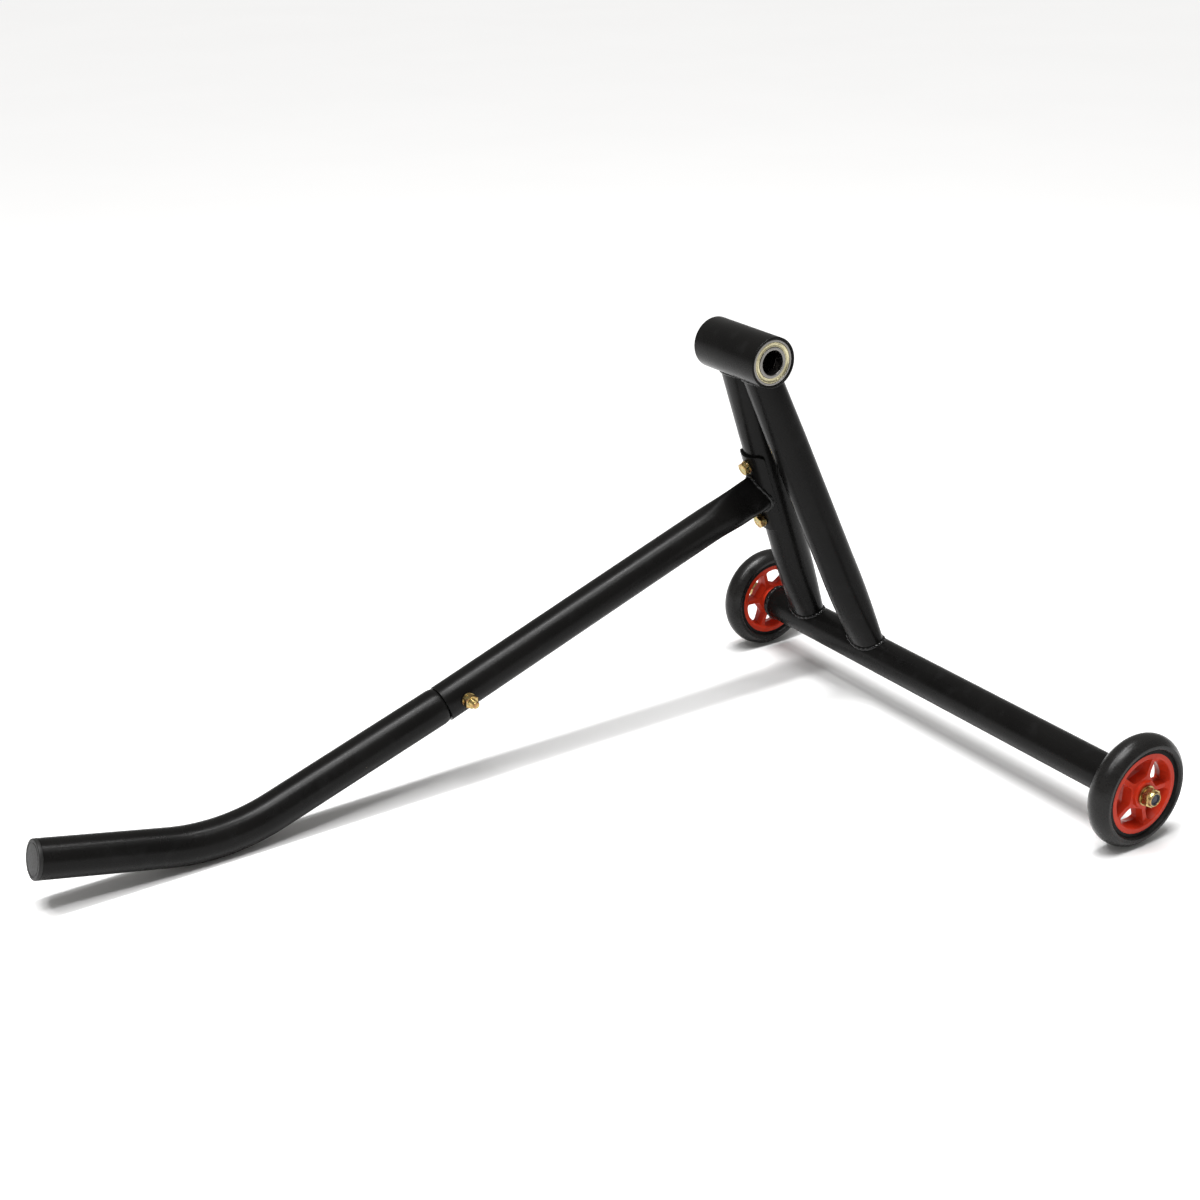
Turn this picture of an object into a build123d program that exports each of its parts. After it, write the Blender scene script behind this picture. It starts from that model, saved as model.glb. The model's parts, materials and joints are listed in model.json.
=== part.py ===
"""Single-sided paddock stand: axle tube on two wheels, two struts to a bearing head, and a two-piece lever.

Millimetres, +Z up. The origin is on the floor under the middle of the stand's box. The axle lies along Y,
the lever runs towards -X, and "near" pieces are on the -Y side.
"""

import os
from math import asin, cos, degrees, radians, sin, tan

from build123d import *

os.makedirs("parts", exist_ok=True)

# Tubes of the frame and the lever
TUBE_R = 19.0
TUBE_WALL = 2.5

# Axle, wheels and what holds them
WHEEL_R = 56.0
TRACK = 555.2
AXLE_TUBE_LENGTH = 508.8
END_DISC = 4.0
STUD_R = 5.0
STUD_EMBEDDED = 22.0
STUD_RECESS = 1.5
HUB_BOSS_R = 13.5
HUB_BOSS_HALF = 12.0
HUB_RIM_R = 40.0
HUB_RIM_HALF = 10.0
HUB_WEB_HALF = 7.0
SPOKES = 5
SPOKE_WIDTH = 6.0
POCKET_INNER_R = 16.5
POCKET_OUTER_R = 34.0
POCKET_CORNER_R = 4.0
NEAR_WHEEL_TURN = 33.0
FAR_WHEEL_TURN = -70.4
TYRE_SIDE = ((49.4, 12.16), (48.6, 12.9), (45.4, 12.9), (44.1, 11.0), (43.5, 8.9))
BUSH_R = 7.0
BUSH_CLEARANCE = 0.05
SIDE_CLEARANCE = 0.3
SPACER_R = 8.5
AXLE_WASHER = (5.3, 10.0, 2.0)
AXLE_NUT = (17.0, 10.0)

# Struts and head
STRUT_LEAN = 20.58
STRUT_RISE = 359.2
NEAR_FOOT_Y = 95.7
FAR_FOOT_Y = 199.4
HEAD_Y = 161.4
STRUT_TOP_HALF_GAP = 15.8
STRUT_R = 19.75

# Pressed ends of the struts: distance along, half-width across the axle tube, half-length along it
FOOT_SECTIONS = ((5.0, 12.5, 25.0), (42.0, 17.3, 22.1), (115.0, 19.75, 19.75))
TOP_SECTIONS = ((0.0, 17.6, 21.8), (100.0, 19.75, 19.75))
HEAD_R = 26.0
HEAD_LENGTH = 97.2
HEAD_LAND_R = 21.0
BEARING_RECESS = 1.0

# Head bearings, 25 x 47 x 12
BEARING_BORE_R = 12.5
BEARING_R = 23.5
BEARING_WIDTH = 12.0
INNER_SHOULDER_R = 15.8
OUTER_SHOULDER_R = 20.2
BALL_R = 3.175
BALL_PITCH_R = 18.0
BALLS = 10
CAGE_HALF = 0.7
RACE_CLEARANCE = 0.05
SHIELD_SEAT_R = 20.7
SHIELD_INNER_R = 16.1
SHIELD_SEAT_DEPTH = 1.2
SHIELD = 0.5

# Lever bracket and its bolts
SADDLE_R = 23.0
SADDLE_LENGTH = 96.0
SADDLE_HALF_ANGLE = 58.0
SADDLE_CORNER_R = 6.0
BRACKET_BOLT_OFFSETS = (-35.0, 35.0)
BOLT_R = 4.0
BOLT_HOLE_R = 4.2
BOLT_HEAD = (13.0, 5.3)
BOLT_NUT = (13.0, 6.5)
BOLT_WASHER = (4.2, 7.3, 2.0)
BOLT_TIP = 3.0
JOINT_BOLT_TIP = 8.5
JOINT_BOLT_HEAD = (13.0, 3.0)

# Lever
UPPER_DROP = 19.84
LOWER_DROP = 18.31
TAIL_RISE = 13.33
UPPER_TO_JOINT = 417.7
UPPER_TUBE_END = 430.0
UPPER_BOLT = 409.0
JOINT_TO_BEND = 260.2
BEND_TO_END = 182.0
BEND_R = 200.0
ROOT_HALF_HEIGHT = 22.0
ROOT_HALF_WIDTH = 15.6
ROOT_STRAIGHT = 34.0
ROOT_BLEND_END = 82.0
SPIGOT_R = 15.5
SPIGOT_DEPTH = 45.0
SPIGOT_WALL = 2.5
FLARE = 9.0
FLARE_STEP = 1.4
CAP_FLANGE = 3.5
CAP_PLUG_R = 16.4
CAP_PLUG = 14.0
CAP_EDGE = 1.5

# Weld beads stand this far off the tubes they join
WELD = 3.0

TUBE_BORE_R = TUBE_R - TUBE_WALL
Y_AXIS = Vector(0, 1, 0)


def lever_way(drop):
    """The direction towards the lever's end of a run that falls at drop degrees."""
    return Vector(-cos(radians(drop)), 0, -sin(radians(drop)))


# The bend rests on the floor, which settles the height of its corner and so where the lever leaves the strut.
bend_turn = LOWER_DROP + TAIL_RISE
bend_tangent = BEND_R * tan(radians(bend_turn / 2))
corner_z = TUBE_R + BEND_R * (1 - cos(radians(LOWER_DROP))) - bend_tangent * sin(radians(LOWER_DROP))
lever_fall = UPPER_TO_JOINT * sin(radians(UPPER_DROP)) + JOINT_TO_BEND * sin(radians(LOWER_DROP))
lever_height = (corner_z + lever_fall - WHEEL_R) / cos(radians(STRUT_LEAN))

# The stand's box runs from the wheels' backs to the tail's end, and the origin is under its middle.
lever_reach = lever_height * sin(radians(STRUT_LEAN))
lever_reach += UPPER_TO_JOINT * cos(radians(UPPER_DROP)) + JOINT_TO_BEND * cos(radians(LOWER_DROP))
lever_reach += BEND_TO_END * cos(radians(TAIL_RISE)) + TUBE_R * sin(radians(TAIL_RISE))
axle_centre = Vector((lever_reach - WHEEL_R) / 2, 0, WHEEL_R)

strut_way = Vector(-sin(radians(STRUT_LEAN)), 0, cos(radians(STRUT_LEAN)))
head_centre = axle_centre + strut_way * STRUT_RISE + Y_AXIS * HEAD_Y
near_foot = axle_centre + Y_AXIS * NEAR_FOOT_Y
far_foot = axle_centre + Y_AXIS * FAR_FOOT_Y
near_top = head_centre - Y_AXIS * STRUT_TOP_HALF_GAP
far_top = head_centre + Y_AXIS * STRUT_TOP_HALF_GAP
near_way = (near_top - near_foot).normalized()
far_way = (far_top - far_foot).normalized()

root_point = far_foot + far_way * (lever_height / STRUT_RISE * (far_top - far_foot).length)
upper_way = lever_way(UPPER_DROP)
lower_way = lever_way(LOWER_DROP)
tail_way = lever_way(-TAIL_RISE)
joint_point = root_point + upper_way * UPPER_TO_JOINT
corner_point = joint_point + lower_way * JOINT_TO_BEND
bend_start = corner_point - lower_way * bend_tangent
bend_end = corner_point + tail_way * bend_tangent
bend_centre = bend_start + Vector(lower_way.Z, 0, -lower_way.X) * BEND_R
bend_middle = bend_centre + (corner_point - bend_centre).normalized() * BEND_R
tail_end = corner_point + tail_way * BEND_TO_END


def bar(start, end, radius, bore=0.0):
    """A straight round bar between two points, hollow when bore is a radius."""
    with BuildPart() as solid:
        with BuildSketch(Plane(origin=start, z_dir=end - start)):
            Circle(radius)
            if bore:
                Circle(bore, mode=Mode.SUBTRACT)
        extrude(amount=(end - start).length)
    return solid.part


def strut_blank(foot, top, growth=0.0):
    """A strut's outside with its pressed ends, grown by growth all round."""
    way = (top - foot).normalized()
    at_foot = Plane(origin=foot, x_dir=way.cross(Y_AXIS), z_dir=way)
    at_top = Plane(origin=top, x_dir=way.cross(Y_AXIS), z_dir=way)
    middle = (top - foot).length - FOOT_SECTIONS[-1][0] - TOP_SECTIONS[-1][0]
    with BuildPart() as blank:
        for along, half_width, half_length in FOOT_SECTIONS:
            with BuildSketch(at_foot.offset(along)):
                Ellipse(half_width + growth, half_length + growth)
        loft()
        with BuildSketch(at_foot.offset(FOOT_SECTIONS[-1][0])):
            Ellipse(STRUT_R + growth, STRUT_R + growth)
        extrude(amount=middle)
        for along, half_width, half_length in reversed(TOP_SECTIONS):
            with BuildSketch(at_top.offset(-along)):
                Ellipse(half_width + growth, half_length + growth)
        loft()
    return blank.part


def turned(centre, outline, way=Y_AXIS):
    """A piece turned about way through centre, from (radius, distance along way) points."""
    side = Vector(1, 0, 0) if abs(way.Y) > 0.5 else Y_AXIS
    section = Plane(origin=centre, x_dir=side, z_dir=side.cross(way))
    with BuildPart() as solid:
        with BuildSketch(section):
            with BuildLine():
                Polyline(*outline, close=True)
            make_face()
        revolve(axis=Axis(centre, way))
    return solid.part


def ring(centre, inner, outer, thickness, way=Y_AXIS):
    """A flat ring whose first face is at centre."""
    return turned(centre, [(inner, 0), (outer, 0), (outer, thickness), (inner, thickness)], way)


def hexagon(start, way, flats, height, bore=0.0):
    """A hexagonal head or nut whose first face is at start."""
    with BuildPart() as solid:
        with BuildSketch(Plane(origin=start, z_dir=way)):
            RegularPolygon(radius=flats / 2, side_count=6, major_radius=False)
            if bore:
                Circle(bore, mode=Mode.SUBTRACT)
        extrude(amount=height)
    return solid.part


def save(part, name):
    part.label = name
    export_step(part, f"parts/{name}.step")


# Axle tube and the whole tubes that others are coped to
axle_near = axle_centre - Y_AXIS * (AXLE_TUBE_LENGTH / 2)
axle_far = axle_centre + Y_AXIS * (AXLE_TUBE_LENGTH / 2)
head_near = head_centre - Y_AXIS * (HEAD_LENGTH / 2)
head_far = head_centre + Y_AXIS * (HEAD_LENGTH / 2)
axle_envelope = bar(axle_near, axle_far, TUBE_R)
head_envelope = bar(head_near, head_far, HEAD_R)
near_envelope = strut_blank(near_foot, near_top)
far_envelope = strut_blank(far_foot, far_top)
saddle_envelope = bar(far_foot, far_top, SADDLE_R)

with BuildPart() as axle_tube:
    add(bar(axle_near, axle_far, TUBE_R, TUBE_BORE_R))
save(axle_tube.part, "axle_tube")

# Bolts that hold the lever's bracket to the far strut, square to the strut and in the lever's plane
bracket_way = Vector(far_way.Z, 0, -far_way.X).normalized() * -1
bolt_points = [root_point + far_way * offset for offset in BRACKET_BOLT_OFFSETS]
head_face = SADDLE_R + BOLT_WASHER[2]
nut_face = STRUT_R + BOLT_WASHER[2]

with BuildPart() as bolt_holes:
    for point in bolt_points:
        add(bar(point - bracket_way * 2 * TUBE_R, point + bracket_way * 2 * TUBE_R, BOLT_HOLE_R))

# Struts
with BuildPart() as far_strut:
    add(far_envelope)
    add(strut_blank(far_foot, far_top, -TUBE_WALL), mode=Mode.SUBTRACT)
    add(axle_envelope, mode=Mode.SUBTRACT)
    add(head_envelope, mode=Mode.SUBTRACT)
    add(bolt_holes.part, mode=Mode.SUBTRACT)
save(far_strut.part, "far_strut")

with BuildPart() as near_strut:
    add(near_envelope)
    add(strut_blank(near_foot, near_top, -TUBE_WALL), mode=Mode.SUBTRACT)
    add(axle_envelope, mode=Mode.SUBTRACT)
    add(head_envelope, mode=Mode.SUBTRACT)
    add(far_envelope, mode=Mode.SUBTRACT)
save(near_strut.part, "near_strut")

# Head tube, bored at each end for a bearing
with BuildPart() as head_tube:
    with BuildSketch(Plane(origin=head_near, z_dir=Y_AXIS)):
        Circle(HEAD_R)
        Circle(HEAD_LAND_R, mode=Mode.SUBTRACT)
    extrude(amount=HEAD_LENGTH)
    for face_point, way in ((head_near, Y_AXIS), (head_far, -Y_AXIS)):
        with BuildSketch(Plane(origin=face_point, z_dir=way)):
            Circle(BEARING_R)
        extrude(amount=BEARING_RECESS + BEARING_WIDTH, mode=Mode.SUBTRACT)
save(head_tube.part, "head_tube")

# Weld beads: collars in the corner between two tubes
near_collar = strut_blank(near_foot, near_top, WELD)
far_collar = strut_blank(far_foot, far_top, WELD)
foot_welds = (("near_foot_weld", near_collar, near_envelope), ("far_foot_weld", far_collar, far_envelope))
for name, collar, envelope in foot_welds:
    with BuildPart() as foot_weld:
        add(bar(axle_near, axle_far, TUBE_R + WELD))
        add(collar, mode=Mode.INTERSECT)
        add(axle_envelope, mode=Mode.SUBTRACT)
        add(envelope, mode=Mode.SUBTRACT)
    save(foot_weld.part, name)

with BuildPart() as head_weld:
    add(near_collar)
    add(far_collar)
    add(bar(head_near, head_far, HEAD_R + WELD), mode=Mode.INTERSECT)
    add(head_envelope, mode=Mode.SUBTRACT)
    add(near_envelope, mode=Mode.SUBTRACT)
    add(far_envelope, mode=Mode.SUBTRACT)
save(head_weld.part, "head_weld")

# Head bearings: each has its two rings, its balls in a cage and a shield on each side
half_width = BEARING_WIDTH / 2
race_r = BALL_R + RACE_CLEARANCE
seat = half_width - SHIELD_SEAT_DEPTH
cage_inner = BALL_PITCH_R - CAGE_HALF
cage_outer = BALL_PITCH_R + CAGE_HALF
cage_half = BALL_R + CAGE_HALF
bearing_inset = BEARING_RECESS + half_width

for side, sign in (("near", -1), ("far", 1)):
    centre = head_centre + Y_AXIS * sign * (HEAD_LENGTH / 2 - bearing_inset)
    across = Plane(origin=centre, z_dir=Y_AXIS)

    outer_outline = [(BEARING_R, -half_width), (BEARING_R, half_width), (SHIELD_SEAT_R, half_width)]
    outer_outline += [(SHIELD_SEAT_R, seat), (OUTER_SHOULDER_R, seat), (OUTER_SHOULDER_R, -seat)]
    outer_outline += [(SHIELD_SEAT_R, -seat), (SHIELD_SEAT_R, -half_width)]
    with BuildPart() as outer_ring:
        add(turned(centre, outer_outline))
        with Locations(Location(across)):
            Torus(BALL_PITCH_R, race_r, mode=Mode.SUBTRACT)
    save(outer_ring.part, f"{side}_bearing_outer_ring")

    with BuildPart() as inner_ring:
        add(ring(centre - Y_AXIS * half_width, BEARING_BORE_R, INNER_SHOULDER_R, BEARING_WIDTH))
        with Locations(Location(across)):
            Torus(BALL_PITCH_R, race_r, mode=Mode.SUBTRACT)
    save(inner_ring.part, f"{side}_bearing_inner_ring")

    with BuildPart() as balls:
        with Locations(Location(across)):
            with PolarLocations(BALL_PITCH_R, BALLS):
                Sphere(BALL_R)
    save(balls.part, f"{side}_bearing_balls")

    with BuildPart() as cage:
        add(ring(centre - Y_AXIS * cage_half, cage_inner, cage_outer, 2 * cage_half))
        with Locations(Location(across)):
            with PolarLocations(BALL_PITCH_R, BALLS):
                Cylinder(race_r, 2 * BALL_R, rotation=(0, 90, 0), mode=Mode.SUBTRACT)
    save(cage.part, f"{side}_bearing_cage")

    with BuildPart() as shields:
        for way in (Y_AXIS, -Y_AXIS):
            add(ring(centre + way * seat, SHIELD_INNER_R, SHIELD_SEAT_R, SHIELD, way))
    save(shields.part, f"{side}_bearing_shields")

# Lever bracket: a saddle plate round the lever side of the far strut
saddle_start = root_point - far_way * (SADDLE_LENGTH / 2)
with BuildPart() as lever_bracket:
    with BuildSketch(Plane(origin=saddle_start, x_dir=bracket_way, z_dir=far_way)):
        Circle(SADDLE_R)
        Circle(STRUT_R, mode=Mode.SUBTRACT)
        reach = 2 * SADDLE_R
        spread = reach * sin(radians(SADDLE_HALF_ANGLE))
        out = reach * cos(radians(SADDLE_HALF_ANGLE))
        with BuildLine():
            Polyline((0, 0), (out, spread), (reach, spread), (reach, -spread), (out, -spread), close=True)
        make_face(mode=Mode.INTERSECT)
    extrude(amount=SADDLE_LENGTH)
    corners = lever_bracket.edges().filter_by(GeomType.LINE)
    corners = [edge for edge in corners if abs(edge.length - (SADDLE_R - STRUT_R)) < 0.01]
    fillet(corners, SADDLE_CORNER_R)
    add(bolt_holes.part, mode=Mode.SUBTRACT)
save(lever_bracket.part, "lever_bracket")

with BuildPart() as bracket_bolts:
    for point in bolt_points:
        add(hexagon(point + bracket_way * head_face, bracket_way, *BOLT_HEAD))
        tip = point - bracket_way * (nut_face + BOLT_NUT[1] + BOLT_TIP)
        add(bar(tip, point + bracket_way * head_face, BOLT_R))
save(bracket_bolts.part, "bracket_bolts")

with BuildPart() as bracket_nuts:
    for point in bolt_points:
        add(hexagon(point - bracket_way * nut_face, -bracket_way, *BOLT_NUT, bore=BOLT_R))
save(bracket_nuts.part, "bracket_nuts")

with BuildPart() as bracket_washers:
    for point in bolt_points:
        add(ring(point + bracket_way * SADDLE_R, *BOLT_WASHER, way=bracket_way))
        add(ring(point - bracket_way * STRUT_R, *BOLT_WASHER, way=-bracket_way))
save(bracket_washers.part, "bracket_washers")


# Lever
def lever_blank(growth):
    """The upper lever tube's outside, its root flattened sideways, grown by growth all round."""
    across = Plane(origin=root_point, x_dir=Y_AXIS, z_dir=upper_way)
    with BuildPart() as blank:
        with BuildSketch(across):
            Ellipse(ROOT_HALF_WIDTH + growth, ROOT_HALF_HEIGHT + growth)
        extrude(amount=ROOT_STRAIGHT)
        with BuildSketch(across.offset(ROOT_STRAIGHT)):
            Ellipse(ROOT_HALF_WIDTH + growth, ROOT_HALF_HEIGHT + growth)
        with BuildSketch(across.offset(ROOT_BLEND_END)):
            Circle(TUBE_R + growth)
        loft()
        with BuildSketch(across.offset(ROOT_BLEND_END)):
            Circle(TUBE_R + growth)
        extrude(amount=UPPER_TUBE_END - ROOT_BLEND_END)
    return blank.part


joint_bolt_point = root_point + upper_way * UPPER_BOLT
joint_hole = bar(joint_bolt_point - Y_AXIS * 2 * TUBE_R, joint_bolt_point + Y_AXIS * 2 * TUBE_R, BOLT_HOLE_R)
upper_outside = lever_blank(0.0)

with BuildPart() as lever_upper_tube:
    add(upper_outside)
    add(lever_blank(-TUBE_WALL), mode=Mode.SUBTRACT)
    add(saddle_envelope, mode=Mode.SUBTRACT)
    add(joint_hole, mode=Mode.SUBTRACT)
save(lever_upper_tube.part, "lever_upper_tube")

with BuildPart() as lever_root_weld:
    add(lever_blank(WELD))
    add(bar(far_foot, far_top, SADDLE_R + WELD), mode=Mode.INTERSECT)
    add(saddle_envelope, mode=Mode.SUBTRACT)
    add(upper_outside, mode=Mode.SUBTRACT)
save(lever_root_weld.part, "lever_root_weld")

# The lower tube's end is drawn down to a spigot, flares back to full size and then runs to the bend.
mouth = UPPER_TUBE_END - UPPER_TO_JOINT
spigot_outline = [(SPIGOT_R - SPIGOT_WALL, mouth - SPIGOT_DEPTH), (SPIGOT_R, mouth - SPIGOT_DEPTH)]
spigot_outline += [(SPIGOT_R, mouth), (TUBE_R - FLARE_STEP, mouth + FLARE_STEP), (TUBE_R, mouth + FLARE)]
spigot_outline += [(TUBE_R, mouth + 2 * FLARE), (TUBE_BORE_R, mouth + 2 * FLARE)]
spigot_outline += [(TUBE_BORE_R, mouth + FLARE), (SPIGOT_R - SPIGOT_WALL, mouth)]
straight_start = joint_point + lower_way * (mouth + 2 * FLARE)
tube_end = tail_end - tail_way * CAP_FLANGE

with BuildPart() as lever_lower_tube:
    add(turned(joint_point, spigot_outline, lower_way))
    with BuildLine():
        Line(straight_start, bend_start)
        ThreePointArc(bend_start, bend_middle, bend_end)
        Line(bend_end, tube_end)
    with BuildSketch(Plane(origin=straight_start, z_dir=lower_way)):
        Circle(TUBE_R)
        Circle(TUBE_BORE_R, mode=Mode.SUBTRACT)
    sweep()
    add(joint_hole, mode=Mode.SUBTRACT)
save(lever_lower_tube.part, "lever_lower_tube")

with BuildPart() as lever_end_cap:
    add(bar(tube_end, tail_end, TUBE_R))
    rim = lever_end_cap.edges().filter_by(GeomType.CIRCLE).sort_by(Axis.X)[0]
    fillet(rim, CAP_EDGE)
    add(bar(tube_end - tail_way * CAP_PLUG, tube_end, CAP_PLUG_R))
save(lever_end_cap.part, "lever_end_cap")

# Bolt through the lever's joint, its nut towards -Y
joint_face = TUBE_R + BOLT_WASHER[2]
with BuildPart() as joint_bolt:
    add(hexagon(joint_bolt_point + Y_AXIS * TUBE_R, Y_AXIS, *JOINT_BOLT_HEAD))
    tip = joint_bolt_point - Y_AXIS * (joint_face + BOLT_NUT[1] + JOINT_BOLT_TIP)
    add(bar(tip, joint_bolt_point + Y_AXIS * TUBE_R, BOLT_R))
save(joint_bolt.part, "joint_bolt")

with BuildPart() as joint_nut:
    add(hexagon(joint_bolt_point - Y_AXIS * joint_face, -Y_AXIS, *BOLT_NUT, bore=BOLT_R))
save(joint_nut.part, "joint_nut")

with BuildPart() as joint_washer:
    add(ring(joint_bolt_point - Y_AXIS * TUBE_R, *BOLT_WASHER, way=-Y_AXIS))
save(joint_washer.part, "joint_washer")


# Wheels, each with its stud, spacer, washers and nut, worked out from the wheel's middle
def pocket_corner(radius, side):
    """A pocket's corner at a radius, so that each spoke keeps one width."""
    angle = side * (180 / SPOKES - degrees(asin(SPOKE_WIDTH / 2 / radius)))
    return radius * cos(radians(angle)), radius * sin(radians(angle))


with BuildSketch() as pocket:
    with BuildLine():
        inner_ends = [pocket_corner(POCKET_INNER_R, side) for side in (-1, 1)]
        outer_ends = [pocket_corner(POCKET_OUTER_R, side) for side in (-1, 1)]
        Line(inner_ends[0], outer_ends[0])
        ThreePointArc(outer_ends[0], (POCKET_OUTER_R, 0), outer_ends[1])
        Line(outer_ends[1], inner_ends[1])
        ThreePointArc(inner_ends[1], (POCKET_INNER_R, 0), inner_ends[0])
    make_face()
    fillet(pocket.vertices(), POCKET_CORNER_R)

hub_outline = [(BUSH_R, -HUB_BOSS_HALF), (HUB_BOSS_R, -HUB_BOSS_HALF), (HUB_BOSS_R, -HUB_WEB_HALF)]
hub_outline += [(POCKET_OUTER_R + 1, -HUB_WEB_HALF), (POCKET_OUTER_R + 2, -HUB_RIM_HALF)]
hub_outline += [(HUB_RIM_R, -HUB_RIM_HALF)]
hub_outline += [(radius, -offset) for radius, offset in reversed(hub_outline)]

tyre_wall = [*TYRE_SIDE, (HUB_RIM_R, HUB_RIM_HALF)]
tyre_wall += [(radius, -offset) for radius, offset in reversed(tyre_wall)]

end_bead = [(TUBE_R, -WELD / 2), (TUBE_R + WELD / 2, -WELD / 4)]
end_bead += [(radius, -offset) for radius, offset in reversed(end_bead)]

wheels = (("near", -Y_AXIS, NEAR_WHEEL_TURN), ("far", Y_AXIS, FAR_WHEEL_TURN))
for side, way, turn in wheels:
    wheel_centre = axle_centre + way * (TRACK / 2)
    tube_face = axle_centre + way * (AXLE_TUBE_LENGTH / 2)
    disc_face = tube_face + way * END_DISC
    boss_face = wheel_centre + way * HUB_BOSS_HALF
    washer_face = boss_face + way * SIDE_CLEARANCE
    nut_start = washer_face + way * AXLE_WASHER[2]
    inner_washer_start = wheel_centre - way * (HUB_BOSS_HALF + SIDE_CLEARANCE + AXLE_WASHER[2])
    across = Plane(origin=wheel_centre, x_dir=(1, 0, 0), z_dir=way)

    with BuildPart() as wheel_hub:
        add(turned(wheel_centre, hub_outline))
        with BuildSketch(across.offset(-HUB_RIM_HALF).rotated((0, 0, turn))):
            with PolarLocations(0, SPOKES):
                add(pocket.sketch)
        extrude(amount=2 * HUB_RIM_HALF, mode=Mode.SUBTRACT)
    save(wheel_hub.part, f"{side}_wheel_hub")

    with BuildPart() as tyre:
        with BuildSketch(Plane(origin=wheel_centre, x_dir=(1, 0, 0), z_dir=(0, 0, 1))):
            with BuildLine():
                Polyline(*tyre_wall)
                ThreePointArc(tyre_wall[-1], (WHEEL_R, 0), tyre_wall[0])
            make_face()
        revolve(axis=Axis(wheel_centre, Y_AXIS))
    save(tyre.part, f"{side}_tyre")

    with BuildPart() as wheel_bush:
        add(ring(wheel_centre - Y_AXIS * HUB_BOSS_HALF, STUD_R + BUSH_CLEARANCE, BUSH_R, 2 * HUB_BOSS_HALF))
    save(wheel_bush.part, f"{side}_wheel_bush")

    with BuildPart() as axle_end_disc:
        add(ring(tube_face, STUD_R, TUBE_R, END_DISC, way))
    save(axle_end_disc.part, f"{side}_axle_end_disc")

    with BuildPart() as axle_end_weld:
        add(turned(tube_face, end_bead, way))
    save(axle_end_weld.part, f"{side}_axle_end_weld")

    with BuildPart() as axle_stud:
        add(bar(tube_face - way * STUD_EMBEDDED, nut_start + way * (AXLE_NUT[1] - STUD_RECESS), STUD_R))
    save(axle_stud.part, f"{side}_axle_stud")

    with BuildPart() as axle_spacer:
        spacer_length = (inner_washer_start - disc_face).length
        add(ring(disc_face, AXLE_WASHER[0], SPACER_R, spacer_length, way))
    save(axle_spacer.part, f"{side}_axle_spacer")

    with BuildPart() as axle_washers:
        add(ring(inner_washer_start, *AXLE_WASHER, way=way))
        add(ring(washer_face, *AXLE_WASHER, way=way))
    save(axle_washers.part, f"{side}_axle_washers")

    with BuildPart() as axle_nut:
        add(hexagon(nut_start, way, *AXLE_NUT, bore=STUD_R))
    save(axle_nut.part, f"{side}_axle_nut")
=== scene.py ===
"""The paddock stand's looks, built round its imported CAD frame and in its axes.

Meshes are in metres. Named sizes are in millimetres and degrees, unless a comment says otherwise.
"""

import json
from math import asin, atan2, cos, hypot, pi, radians, sin, sqrt, tan

import bmesh
import bpy
import numpy as np
from mathutils import Matrix, Vector


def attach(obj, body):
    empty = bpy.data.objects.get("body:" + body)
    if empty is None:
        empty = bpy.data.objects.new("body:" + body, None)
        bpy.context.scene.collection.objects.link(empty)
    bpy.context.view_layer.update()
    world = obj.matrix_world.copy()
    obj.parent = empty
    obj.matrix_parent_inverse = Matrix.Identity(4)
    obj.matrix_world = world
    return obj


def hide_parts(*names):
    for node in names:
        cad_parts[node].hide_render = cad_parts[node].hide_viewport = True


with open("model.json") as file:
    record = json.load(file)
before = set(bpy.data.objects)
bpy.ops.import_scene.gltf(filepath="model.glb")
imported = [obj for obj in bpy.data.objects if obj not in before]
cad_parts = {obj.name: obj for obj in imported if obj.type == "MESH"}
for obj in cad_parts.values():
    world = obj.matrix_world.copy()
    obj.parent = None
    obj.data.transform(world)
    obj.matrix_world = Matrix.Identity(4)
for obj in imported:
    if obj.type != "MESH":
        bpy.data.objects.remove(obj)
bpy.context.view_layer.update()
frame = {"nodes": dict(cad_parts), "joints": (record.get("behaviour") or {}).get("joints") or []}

MM = 0.001
X_AXIS = Vector((1, 0, 0))
Y_AXIS = Vector((0, 1, 0))
Z_AXIS = Vector((0, 0, 1))

# Sizes that the CAD source gives
TUBE_R = 19.0
TUBE_WALL = 2.5
AXLE_TUBE_HALF = 254.4
NEAR_FOOT_Y = 95.7
FAR_FOOT_Y = 199.4
STRUT_TOP_HALF_GAP = 15.8
STRUT_R = 19.75
HEAD_R = 26.0
HEAD_HALF = 48.6
HEAD_LAND_R = 21.0
BEARING_RECESS = 1.0
BEARING_R = 23.5
BEARING_HALF = 6.0
BEARING_BORE_R = 12.5
INNER_SHOULDER_R = 15.8
BALL_CIRCLE_R = 18.0
RACE_R = 3.3
SHIELD_SEAT = 1.2
SADDLE_R = 23.0
SADDLE_GAP = 0.03
SADDLE_LENGTH = 96.0
SADDLE_HALF_ANGLE = 58.0
SADDLE_CORNER_R = 6.0
SADDLE_EDGE = 1.3
BRACKET_BOLT_OFFSET = 35.0
UPPER_DROP = 19.84
LOWER_DROP = 18.31
TAIL_RISE = 13.33
UPPER_TO_JOINT = 417.7
UPPER_TUBE_END = 430.0
UPPER_BOLT = 409.0
JOINT_TO_BEND = 260.2
BEND_TO_END = 182.0
BEND_R = 200.0
SPIGOT_R = 15.5
SPIGOT_BORE_R = 13.0
SPIGOT_LENGTH = 45.0
CAP_FLANGE = 3.5
WHEEL_R = 56.0
HUB_BOSS_R = 13.5
HUB_BOSS_HALF = 12.0
HUB_RIM_R = 40.0
HUB_RIM_HALF = 10.0
SPOKES = 5
NEAR_WHEEL_TURN = 33.0
FAR_WHEEL_TURN = 70.4

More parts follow.
